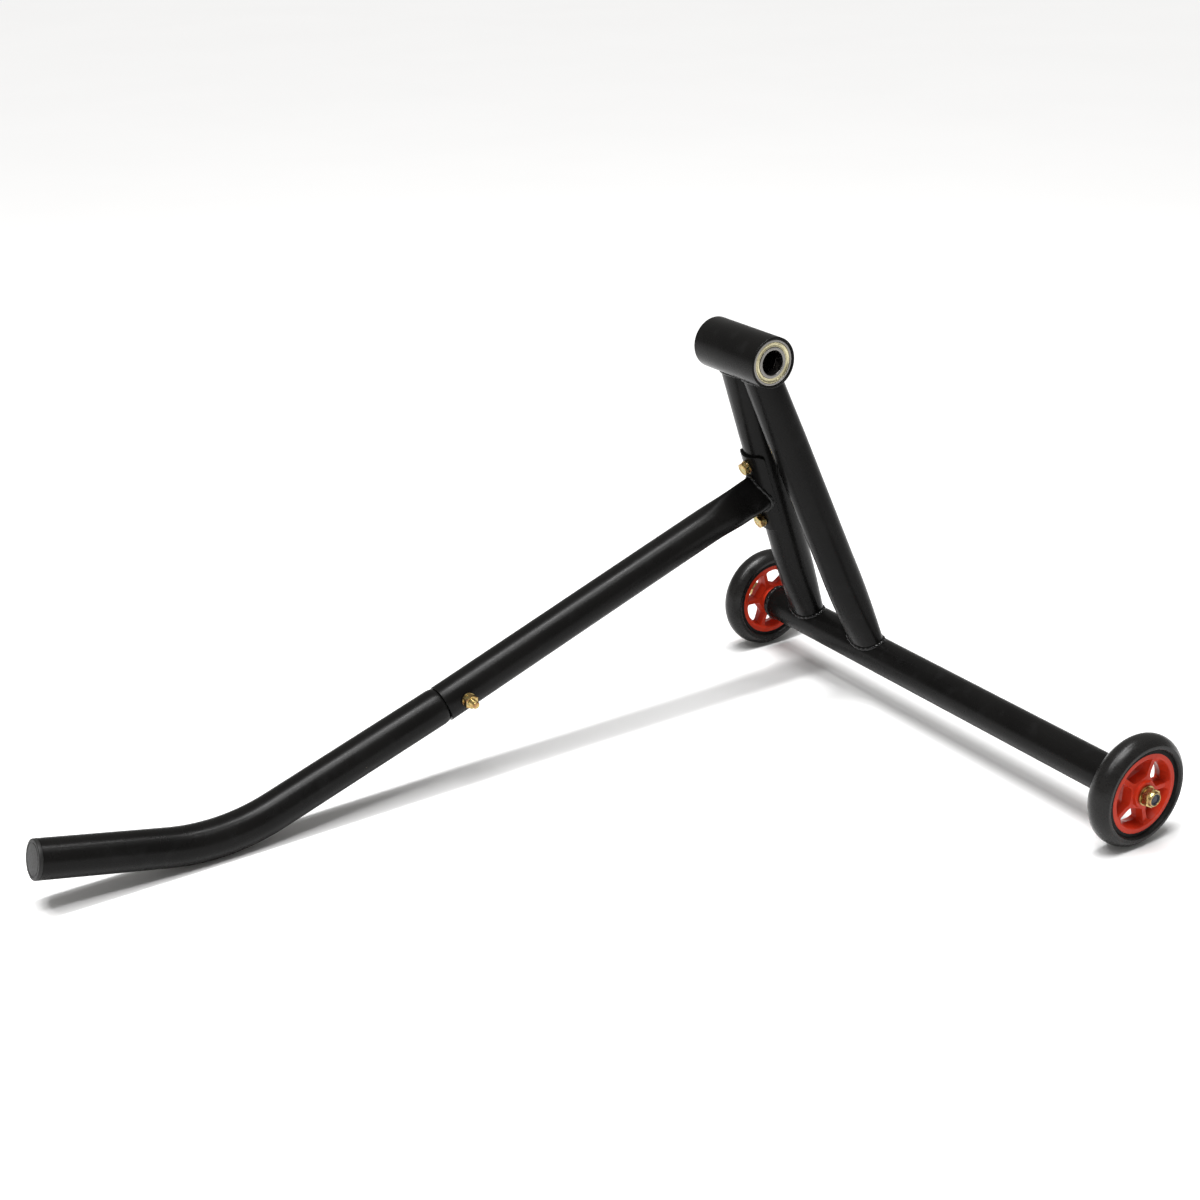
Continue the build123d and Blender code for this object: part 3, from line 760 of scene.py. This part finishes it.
def lined_up(points, before):
    """A ring's points, started where they lie closest to the ring before."""
    turns = [np.roll(points, k, axis=0) for k in range(len(points))]
    gaps = [np.linalg.norm(turned - before, axis=1).sum() for turned in turns]
    return turns[int(np.argmin(gaps))]


def bead(path, size, ripple, lumps=(), steps=14):
    """A closed weld bead: overlapping ripples size millimetres in radius, with (place, height) lumps."""
    path = np.array(path)
    count = len(path)
    t = np.arange(count) / count
    gaps = np.linalg.norm(np.diff(np.vstack([path, path[:1]]), axis=0), axis=1)
    length = gaps.sum() / MM
    ripples = max(6, round(length / ripple))
    wave = 1 - np.abs(np.sin(pi * ripples * t + 0.25 * np.sin(2 * pi * 3 * t))) ** 1.6
    uneven = wobble(t, (3, 0.4, 0.05), (7, 2.1, 0.05), (17, 1.3, 0.03))
    radii = size * (0.86 + 0.22 * (1 - wave) + uneven)
    for where, height in lumps:
        apart = (t - where + 0.5) % 1.0 - 0.5
        radii += height * np.exp(-((apart / 0.02) ** 2))
    rings = []
    for i in range(count):
        way = Vector(path[(i + 1) % count] - path[i - 1]).normalized()
        side, up = across(way)
        angles = turn_angles(steps)
        turned = np.outer(np.cos(angles), side) + np.outer(np.sin(angles), up)
        rings.append(path[i] + turned * radii[i] * MM)
    for i in range(1, count):
        rings[i] = lined_up(rings[i], rings[i - 1])
    return loft(rings + [lined_up(rings[0], rings[-1])])


def where_tube_meets(start, way, radii, other, other_way, other_r, towards, steps=220, sides=None):
    """Where the lines of a tube's surface meet another round tube, on the side that they come from."""
    level, up = sides or across(way)
    other_way = np.array(Vector(other_way).normalized())
    way = np.array(Vector(way).normalized())
    points = []
    for i in range(steps):
        angle = 2 * pi * i / steps
        a, b = radii(angle)
        p = np.array(start) + (np.array(level) * a + np.array(up) * b) * MM
        gap = p - np.array(other)
        d = way - other_way * (way @ other_way)
        g = gap - other_way * (gap @ other_way)
        half, whole = d @ g, d @ d
        inside = max(half**2 - whole * (g @ g - (other_r * MM) ** 2), 0.0)
        points.append(p + way * (-half + towards * sqrt(inside)) / whole)
    return points


def oval(half_width, half_length):
    """An oval section, as (across, along) for an angle."""
    return lambda angle: (half_width * cos(angle), half_length * sin(angle))


def strut_sides(way):
    """Square to a strut: across the axle tube, and along it."""
    side = way.cross(Y_AXIS).normalized()
    return side, way.cross(side)


def root_section(growth=0.0):
    """The lever root's pressed egg shape, narrow end up, as (level, up) for an angle."""
    def section(angle):
        half_width = (ROOT_HALF_WIDTH + growth) * (1 - ROOT_EGG * sin(angle))
        return half_width * cos(angle), (ROOT_HALF_HEIGHT + growth) * sin(angle)

    return section


def welds():
    """Every bead of the stand, along the line where its two tubes meet."""
    for name, foot, way in (("near", near_foot, near_way), ("far", far_foot, far_way)):
        sides = strut_sides(way)
        path = where_tube_meets(foot, way, oval(*FOOT_PRESS), axle, Y_AXIS, TUBE_R, 1, sides=sides)
        obj = build(f"{name}_foot_weld_finish", bead(path, *FOOT_BEAD, FOOT_LUMPS), weld_coat)
        place(obj, "frame", "coated_weld", f"{name}_foot_weld")
    head_paths = []
    for top, way in ((near_top, near_way), (far_top, far_way)):
        sides = strut_sides(way)
        path = where_tube_meets(top, way, oval(*TOP_PRESS), head, Y_AXIS, HEAD_R, -1, sides=sides)
        head_paths.append(path)
    shape = together(*[bead(path, *HEAD_BEAD) for path in head_paths])
    place(build("head_weld_finish", shape, weld_coat), "frame", "coated_weld", "head_weld")
    path = where_tube_meets(root, upper_way, root_section(), far_foot, far_way, SADDLE_R, 1)
    obj = build("lever_root_weld_finish", bead(path, *ROOT_BEAD, ROOT_LUMPS), weld_coat)
    place(obj, "frame", "coated_weld", "lever_root_weld")
    for side in ("near", "far"):
        centre = axle + outward[side] * AXLE_TUBE_HALF * MM
        path = ring(centre, Y_AXIS, TUBE_R - 0.9, 0.0, 240)
        obj = build(f"{side}_axle_end_weld_finish", bead(path, *END_BEAD), weld_coat)
        place(obj, "frame", "coated_weld", f"{side}_axle_end_weld")


# ---------------------------------------------------------------- lever

def lever_bracket():
    """The saddle plate: rolled round the strut, with rounded corners and eased edges."""
    rows, columns = 33, 25
    side = far_way.cross(bracket_way)
    grids = []
    for radius in (SADDLE_R, STRUT_R + SADDLE_GAP):
        grid = []
        for v in np.linspace(-SADDLE_LENGTH / 2, SADDLE_LENGTH / 2, rows):
            past = max(0.0, abs(v) - (SADDLE_LENGTH / 2 - SADDLE_CORNER_R))
            cut = SADDLE_CORNER_R - sqrt(max(SADDLE_CORNER_R**2 - past**2, 0.0))
            half = radians(SADDLE_HALF_ANGLE) - cut / SADDLE_R
            for angle in np.linspace(-half, half, columns):
                way = bracket_way * cos(angle) + side * sin(angle)
                grid.append(root + far_way * v * MM + way * radius * MM)
        grids.append(grid)
    total = rows * columns
    faces = []
    for i in range(rows - 1):
        for j in range(columns - 1):
            a = i * columns + j
            quad = (a, a + 1, a + columns + 1, a + columns)
            faces += [quad, tuple(k + total for k in reversed(quad))]
    border = list(range(columns)) + [i * columns + columns - 1 for i in range(1, rows)]
    border += [(rows - 1) * columns + j for j in range(columns - 2, -1, -1)]
    border += [i * columns for i in range(rows - 2, 0, -1)]
    for a, b in zip(border, border[1:] + border[:1]):
        faces.append((b, a, a + total, b + total))
    obj = build("lever_bracket_finish", (np.array(grids[0] + grids[1]), faces), coat, 50)
    edge = obj.modifiers.new("eased_edges", "BEVEL")
    edge.width = SADDLE_EDGE * MM
    edge.segments = 3
    edge.limit_method = "ANGLE"
    edge.angle_limit = radians(60)
    place(obj, "frame", "powder_coat", "lever_bracket")


def section_ring(centre, way, half_width, half_height, egg=0.0):
    """A ring of an egg-shaped section, half_width level and half_height upward."""
    level, up = across(way)
    angles = turn_angles(TUBE_STEPS)
    c, s = np.cos(angles), np.sin(angles)
    a = c * (1 - egg * s) * half_width * MM
    b = s * half_height * MM
    return np.array(centre) + np.outer(a, level) + np.outer(b, up)


def ease(t):
    """From 0 to 1 as t goes from 0 to 1, starting and ending gently."""
    t = min(max(t, 0.0), 1.0)
    return t * t * (3 - 2 * t)


def lever_upper_tube():
    """The upper lever tube: its pressed root is coped to the saddle and its far end is cut square."""
    def skin(inset):
        cope = where_tube_meets(
            root, upper_way, root_section(-inset), far_foot, far_way, SADDLE_R - 0.6, 1, TUBE_STEPS
        )
        rings = [np.array(cope)]
        for s in (26, 29, 32, 36, 40, 45, 50, 56, 62, 68, 75, 82, 90, 100):
            pressed = 1 - ease((s - 30) / 62)
            pinch = 1.5 * sin(pi * ease((s - 22) / 40))
            width = TUBE_R - (TUBE_R - ROOT_HALF_WIDTH + pinch) * pressed
            height = TUBE_R + (ROOT_HALF_HEIGHT - TUBE_R) * pressed
            middle = root + upper_way * s * MM
            shape = section_ring(middle, upper_way, width - inset, height - inset, ROOT_EGG * pressed)
            if s < 30:
                along = (shape - np.array(root)) @ np.array(upper_way)
                start = (np.array(cope) - np.array(root)) @ np.array(upper_way)
                keep = np.maximum(along, start + 0.6 * MM * (s - 24))
                shape = shape + np.outer(keep - along, upper_way)
            rings.append(shape)
        for s in np.linspace(130, UPPER_TUBE_END - 0.6, 12):
            middle = root + upper_way * s * MM
            rings.append(section_ring(middle, upper_way, TUBE_R - inset, TUBE_R - inset))
        return rings

    outside, inside = skin(0.0), skin(TUBE_WALL)
    end = root + upper_way * UPPER_TUBE_END * MM
    lip = [ring(end, upper_way, TUBE_R - 0.15, -0.2), ring(end, upper_way, TUBE_R - 0.5, 0.0)]
    lip += [ring(end, upper_way, TUBE_R - TUBE_WALL, 0.0)]
    obj = build("lever_upper_tube_finish", loft(outside + lip + inside[::-1], looped=True), coat, 40)
    place(obj, "frame", "powder_coat", "lever_upper_tube")


def lever_lower_tube():
    """The lower lever tube: a drawn-down spigot that flares to full size at the joint, then the bend."""
    mouth = UPPER_TUBE_END - UPPER_TO_JOINT
    profile = [(SPIGOT_R, mouth - SPIGOT_LENGTH), (SPIGOT_R, mouth + 0.2), (16.6, mouth + 0.5)]
    profile += [(17.6, mouth + 1.2), (18.3, mouth + 2.6), (18.75, mouth + 4.8), (TUBE_R, mouth + 8)]
    outside = [ring(joint, lower_way, r, a) for r, a in profile]
    bore = [(SPIGOT_BORE_R, mouth - SPIGOT_LENGTH), (SPIGOT_BORE_R, mouth)]
    bore.append((TUBE_R - TUBE_WALL, mouth + 9))
    inside = [ring(joint, lower_way, r, a) for r, a in bore]
    turn_start = corner - lower_way * bend_tangent * MM
    turn_end = corner + tail_way * bend_tangent * MM
    hub = turn_start + Vector((lower_way.z, 0, -lower_way.x)) * BEND_R * MM
    straight = np.linspace(mouth + 40, JOINT_TO_BEND - bend_tangent, 6)
    spine = [(joint + lower_way * a * MM, lower_way) for a in straight]
    for part in np.linspace(0, 1, 25)[1:]:
        angle = bend_turn * part
        way = (Matrix.Rotation(angle, 3, "Y") @ lower_way).normalized()
        spine.append((hub + Matrix.Rotation(angle, 3, "Y") @ (turn_start - hub), way))
    end = tail_end - tail_way * CAP_FLANGE * MM
    for part in np.linspace(0, 1, 6)[1:]:
        spine.append((turn_end.lerp(end, part), tail_way))
    outside += [ring(centre, way, TUBE_R) for centre, way in spine]
    inside += [ring(centre, way, TUBE_R - TUBE_WALL) for centre, way in spine]
    obj = build("lever_lower_tube_finish", loft(outside + inside[::-1], looped=True), coat, 40)
    place(obj, "frame", "powder_coat", "lever_lower_tube")


def lever_end_cap():
    """The plastic plug in the lever's end: a flat flange with a fine groove, and ribs in the tube."""
    outline = [(0.3, 0.0, 0), (14.6, 0.0, 0.2), (15.0, -0.45, 0.15)]
    outline += [(15.6, -0.45, 0.15), (16.0, 0.0, 0.2)]
    outline += [(TUBE_R - 0.1, 0.0, 1.6), (TUBE_R - 0.1, -CAP_FLANGE, 0.4)]
    outline += [(16.0, -CAP_FLANGE, 0), (16.0, -6, 0)]
    for rib in (-7.0, -10.0, -13.0):
        outline += [(16.4, rib, 0), (16.4, rib - 1.2, 0), (15.6, rib - 1.8, 0)]
    outline += [(14.5, -17.5, 0.5), (0.3, -17.5, 0)]
    shape = turned_solid(tail_end, tail_way, rounded(outline, 0, 4, closed=False), TUBE_STEPS)
    place(build("lever_end_cap_finish", shape, plastic), "frame", "black_plastic", "lever_end_cap")


# ---------------------------------------------------------------- wheels

def pocket_outline(inner, outer, spoke, corner):
    """One pocket's outline in (x, z), centred on x, with straight sides along the spokes."""
    def on_side(radius, side):
        angle = side * (pi / SPOKES - asin(spoke / 2 / radius))
        return radius * cos(angle), radius * sin(angle)

    outline = [on_side(inner, -1), on_side(outer, -1)]
    edge = atan2(outline[1][1], outline[1][0])
    outline += [(outer * cos(a), outer * sin(a), 0) for a in np.linspace(edge, -edge, 9)[2:-2]]
    outline += [on_side(outer, 1), on_side(inner, 1)]
    return rounded(outline, corner, 7)


def wheel_hub_mesh():
    """The moulded hub about its own Y axis: rim, dished star of spokes, pockets through it, boss."""
    outline = [(7.0, -HUB_BOSS_HALF, 0.4), (HUB_BOSS_R - 0.6, -HUB_BOSS_HALF, 0.8)]
    outline += [(HUB_BOSS_R, -8.6, 0.8), (16.5, -8.0, 1.5), (22.0, -7.2, 3)]
    outline += [(31.5, -7.2, 2.0), (35.0, -9.6, 0.8)]
    outline += [(35.6, -HUB_RIM_HALF, 0.5), (HUB_RIM_R, -HUB_RIM_HALF, 0.3)]
    outline += [(r, -a, e) for r, a, e in reversed(outline)]
    body = build("hub_body", lathe((0, 0, 0), Y_AXIS, rounded(outline, 0, 4), 120), red, 30)
    sections = [(-POCKET_REACH, POCKET_FACE), (-POCKET_WEB_HALF, POCKET_MIDDLE)]
    sections += [(-along, size) for along, size in reversed(sections)]
    cutters = []
    for k in range(SPOKES):
        turn = Matrix.Rotation(2 * pi * k / SPOKES, 3, "Y")
        rings = []
        for along, size in sections:
            flat = [Vector((x * MM, along * MM, z * MM)) for x, z in pocket_outline(**size)]
            rings.append(np.array([turn @ p for p in flat]))
        cutters.append(loft(rings))
    cutter = build("hub_cutter", together(*cutters), red)
    cut = body.modifiers.new("pockets", "BOOLEAN")
    cut.object = cutter
    cut.operation = "DIFFERENCE"
    cut.solver = "EXACT"
    eased = body.modifiers.new("eased_edges", "BEVEL")
    eased.width = 0.75 * MM
    eased.segments = 3
    eased.limit_method = "ANGLE"
    eased.angle_limit = radians(38)
    smooth = body.modifiers.new("even_shading", "WEIGHTED_NORMAL")
    smooth.keep_sharp = False
    bpy.context.view_layer.update()
    final = bpy.data.meshes.new_from_object(body.evaluated_get(bpy.context.evaluated_depsgraph_get()))
    final.name = "wheel_hub"
    for obj in (body, cutter):
        bpy.data.objects.remove(obj)
    return final


def tyre_shape():
    """The solid tyre: a matt lip beside the rim, a step, then a smooth round sidewall and tread."""
    crown_r = 14.5
    crown_centre = WHEEL_R - crown_r
    lip = [(HUB_RIM_R, -HUB_RIM_HALF, 0.2), (43.5, -8.9, 0.2), (44.1, -11.0, 0.8), (45.4, -12.9, 1.2)]
    lip += [(48.6, -12.9, 2.5), (49.4, -12.25, 0)]
    start = asin((49.6 - crown_centre) / crown_r)
    wall = []
    for angle in np.linspace(start, pi / 2, 24):
        wall.append((crown_centre + crown_r * sin(angle), -crown_r * cos(angle)))
    half = [(HUB_RIM_R, -9.0)] + rounded([(HUB_RIM_R, -9.0, 0)] + lip, 0, 4, closed=False)[1:] + wall
    outline = half + [(r, -a) for r, a in reversed(half[:-1])]
    return lathe((0, 0, 0), Y_AXIS, outline, 144)


def lock_nut(start):
    """An M10 lock nut on -Y from start: hexagon and domed collar, and the insert inside it."""
    centre = Vector((0, -start * MM, 0))
    reach = hexagon_radius(M10_FLATS, SMALL_STEPS)
    fall = (reach - 8.0) * tan(radians(30))
    way = -Y_AXIS
    rings = [ring(centre, way, 5.2, 0.6, SMALL_STEPS), ring(centre, way, 5.9, 0.0, SMALL_STEPS)]
    rings += [ring(centre, way, 8.0, 0.0, SMALL_STEPS), ring(centre, way, reach, fall, SMALL_STEPS)]
    rings.append(ring(centre, way, reach, 6.9 - fall * 0.8, SMALL_STEPS))
    collar = [(7.6, 6.9), (7.35, 7.3), (7.25, 8.6), (7.0, 9.3), (6.5, 9.75), (5.9, 9.7)]
    collar += [(5.75, 9.2), (5.75, 7.4), (5.2, 7.4)]
    rings += [ring(centre, way, r, a, SMALL_STEPS) for r, a in collar]
    insert = [(4.75, 7.5, 0), (5.7, 7.5, 0), (5.7, 9.2, 0.2), (4.75, 9.2, 0.4)]
    return loft(rings, looped=True), lathe(centre, way, rounded(insert, 0, 3))


def wheel(side, turn):
    """A wheel and what holds it on the axle, with its own Y axis pointing inward."""
    spun = Matrix.Rotation(radians(-turn), 4, "Y")
    facing = Matrix.Identity(4) if side == "near" else Matrix.Rotation(pi, 4, "Z")
    standing = Matrix.Translation(wheel_places[side]) @ facing
    hub = bpy.data.objects.new(f"{side}_wheel_hub_finish", hub_mesh)
    bpy.context.scene.collection.objects.link(hub)
    hub.matrix_world = standing @ spun
    place(hub, f"{side}_wheel", "red_plastic", f"{side}_wheel_hub")

    tyre = build(f"{side}_tyre_finish", tyre_shape(), rubber, 28)
    tyre.data.materials.append(lip_rubber)
    for face in tyre.data.polygons:
        if hypot(face.center.x, face.center.z) < 44.1 * MM:
            face.material_index = 1
    tyre.matrix_world = standing
    place(tyre, f"{side}_wheel", "tyre_rubber", f"{side}_tyre")

    boss = HUB_BOSS_HALF + HUB_GAP
    washer_sizes = (AXLE_WASHER_BORE, AXLE_WASHER_R, AXLE_WASHER_HEIGHT)
    outer = washer(Vector((0, -boss * MM, 0)), -Y_AXIS, *washer_sizes)
    inner = washer(Vector((0, boss * MM, 0)), Y_AXIS, *washer_sizes)
    nut_shape, insert_shape = lock_nut(boss + AXLE_WASHER_HEIGHT)
    middle = Vector()
    inboard = (wheel_places[side] - axle).length / MM - AXLE_TUBE_HALF + STUD_IN_TUBE
    plain = [(M10_R - 0.6, -inboard), (M10_R, 0.6 - inboard), (M10_R, boss - 1.0)]
    stud = [ring(middle, -Y_AXIS, r, a, SMALL_STEPS) for r, a in plain]
    stud += threaded_end(middle, -Y_AXIS, M10_R, M10_PITCH, boss - 0.8, boss + STUD_PAST_BOSS)
    pieces = {
        "axle_washers": (together(outer, inner), gold_zinc, "yellow_zinc", True),
        "axle_nut": (nut_shape, gold_zinc, "yellow_zinc", True),
        "axle_nut_insert": (insert_shape, insert_nylon, "black_plastic", False),
        # The stud's dark colour is partly dull zinc and partly painted shade.
        "axle_stud": (loft(stud), dull_zinc_with_painted_shade, "yellow_zinc", True),
    }
    for name, (shape, finish, slot, stands) in pieces.items():
        obj = build(f"{side}_{name}_finish", shape, finish)
        obj.matrix_world = standing
        place(obj, "frame", slot, *([f"{side}_{name}"] if stands else []))


head_tube()
for side in ("near", "far"):
    bearing(side)
bracket_fasteners()
joint_fasteners()
welds()
lever_bracket()
lever_upper_tube()
lever_lower_tube()
lever_end_cap()
hub_mesh = wheel_hub_mesh()
wheel("near", NEAR_WHEEL_TURN)
wheel("far", 180 - FAR_WHEEL_TURN)


# ---------------------------------------------------------------- studio

def studio():
    """A plain pale floor and sky, soft light from overhead and two rows of small lamps."""
    finish = Finish("studio_floor", 0.75)
    tone = finish.ramp(finish.noise(2), (0.3, (0.815, 0.815, 0.815)), (0.7, (0.825, 0.825, 0.825)))
    finish.color(tone)
    corners = [(x * FLOOR_HALF, y * FLOOR_HALF, 0) for x, y in ((-1, -1), (1, -1), (1, 1), (-1, 1))]
    floor = build("studio_floor", (np.array(corners, float), [(0, 1, 2, 3)]), finish.material)

    world = bpy.data.worlds.new("studio")
    bpy.context.scene.world = world
    world.use_nodes = True
    world.node_tree.nodes["Background"].inputs["Color"].default_value = SKY_TONE
    world.node_tree.nodes["Background"].inputs["Strength"].default_value = SKY_STRENGTH

    sun = bpy.data.lights.new("overhead", "SUN")
    sun.energy = SUN_STRENGTH
    sun.angle = radians(SUN_SPREAD)
    overhead = bpy.data.objects.new("overhead", sun)
    overhead.rotation_euler = (radians(6), radians(-10), 0)
    bpy.context.scene.collection.objects.link(overhead)

    for k in range(LAMPS):
        for name, (x, y, z), size, power in LAMP_ROWS:
            data = bpy.data.lights.new(f"{name}_{k}", "AREA")
            data.shape = "RECTANGLE"
            data.size = size
            data.size_y = size
            data.energy = power
            lamp = bpy.data.objects.new(f"{name}_{k}", data)
            lamp.location = (x + LAMP_STEP * k, y, z)
            lamp.rotation_mode = "QUATERNION"
            lamp.rotation_quaternion = (LAMP_AIM - lamp.location).to_track_quat("-Z", "Y")
            bpy.context.scene.collection.objects.link(lamp)


def camera():
    """The view: from the lever's side, a little above, with a normal lens."""
    data = bpy.data.cameras.new("view")
    data.sensor_width = SENSOR_WIDTH
    data.lens = LENS
    data.clip_start = 0.05
    data.clip_end = 50.0
    eye = bpy.data.objects.new("view", data)
    heading, dip, roll = radians(HEADING), radians(DIP), radians(ROLL)
    forward = Vector((sin(heading) * cos(dip), cos(heading) * cos(dip), -sin(dip)))
    level = forward.cross(Z_AXIS).normalized()
    right = (Matrix.Rotation(roll, 3, forward) @ level).normalized()
    up = right.cross(forward)
    turn = Matrix((right, up, -forward)).transposed()
    eye.matrix_world = Matrix.Translation(EYE) @ turn.to_4x4()
    bpy.context.scene.collection.objects.link(eye)
    bpy.context.scene.camera = eye


studio()
camera()
bpy.context.scene.view_settings.view_transform = "Standard"
